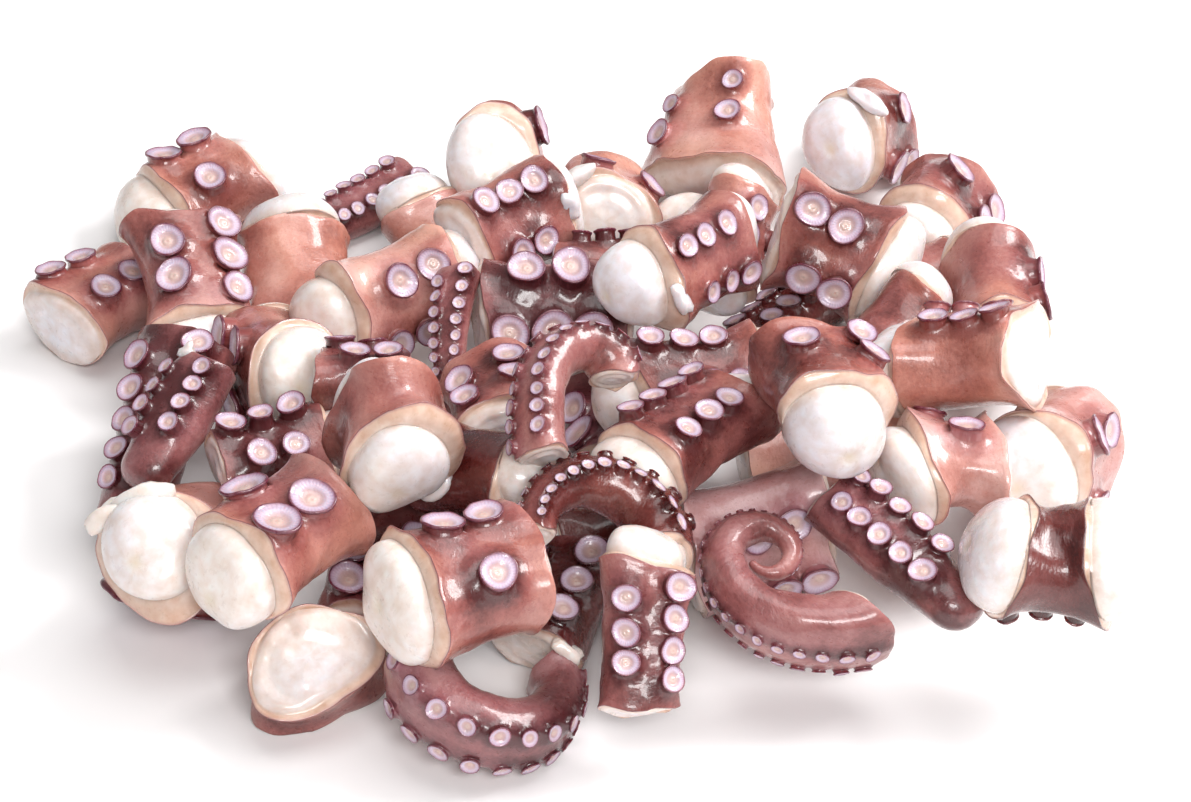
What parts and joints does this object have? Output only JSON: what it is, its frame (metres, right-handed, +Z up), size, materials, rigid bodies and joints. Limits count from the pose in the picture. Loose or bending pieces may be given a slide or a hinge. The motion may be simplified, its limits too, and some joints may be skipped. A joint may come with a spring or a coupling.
{
  "type": "cooked octopus pieces",
  "caption": "Heap of cooked octopus arms cut into short lengths: mauve skin with two rows of suckers, white flesh bulging at the cuts, thin ends curled.",
  "frame": {"origin": "on the table, below the middle of the heap", "axes": "+Z up; +X to the right and +Y away from the side that the heap is mostly seen from"},
  "size_m": [0.2874, 0.2728, 0.0727],
  "materials": {
    "mauve_arm": "wet, glossy skin with small dark freckles, white flesh at the cuts",
    "salmon_arm": "wet, glossy skin of a lighter salmon tone, white flesh at the cuts",
    "wine_arm": "wet, very glossy dark wine skin, white flesh at the cuts"
  },
  "bodies": {
    "root": {"arm_a1": "salmon_arm", "arm_a10": "mauve_arm", "arm_a11": "wine_arm", "arm_a2": "mauve_arm", "arm_a3": "mauve_arm", "arm_a4": "salmon_arm", "arm_a5": "mauve_arm", "arm_a6": "salmon_arm", "arm_a7": "salmon_arm", "arm_a8": "mauve_arm", "arm_a9": "mauve_arm", "arm_b1": "mauve_arm", "arm_b10": "mauve_arm", "arm_b11": "mauve_arm", "arm_b12": "salmon_arm", "arm_b13": "mauve_arm", "arm_b2": "mauve_arm", "arm_b3": "salmon_arm", "arm_b4": "mauve_arm", "arm_b5": "mauve_arm", "arm_b6": "mauve_arm", "arm_b6b": "mauve_arm", "arm_b7": "mauve_arm", "arm_b8": "mauve_arm", "arm_b9": "wine_arm", "arm_c1": "mauve_arm", "arm_c10": "mauve_arm", "arm_c11": "mauve_arm", "arm_c12": "mauve_arm", "arm_c13": "mauve_arm", "arm_c14": "mauve_arm", "arm_c2": "mauve_arm", "arm_c3": "mauve_arm", "arm_c4": "mauve_arm", "arm_c5": "mauve_arm", "arm_c5b": "mauve_arm", "arm_c6": "mauve_arm", "arm_c7": "mauve_arm", "arm_c8": "mauve_arm", "arm_c9": "mauve_arm", "arm_d1": "mauve_arm", "arm_d10": "wine_arm", "arm_d11": "mauve_arm", "arm_d12": "salmon_arm", "arm_d13": "mauve_arm", "arm_d14": "mauve_arm", "arm_d15": "wine_arm", "arm_d2": "mauve_arm", "arm_d3": "mauve_arm", "arm_d4": "wine_arm", "arm_d5": "wine_arm", "arm_d6": "mauve_arm", "arm_d7": "mauve_arm", "arm_d8": "mauve_arm", "arm_d9": "wine_arm"}
  },
  "joints": []
}
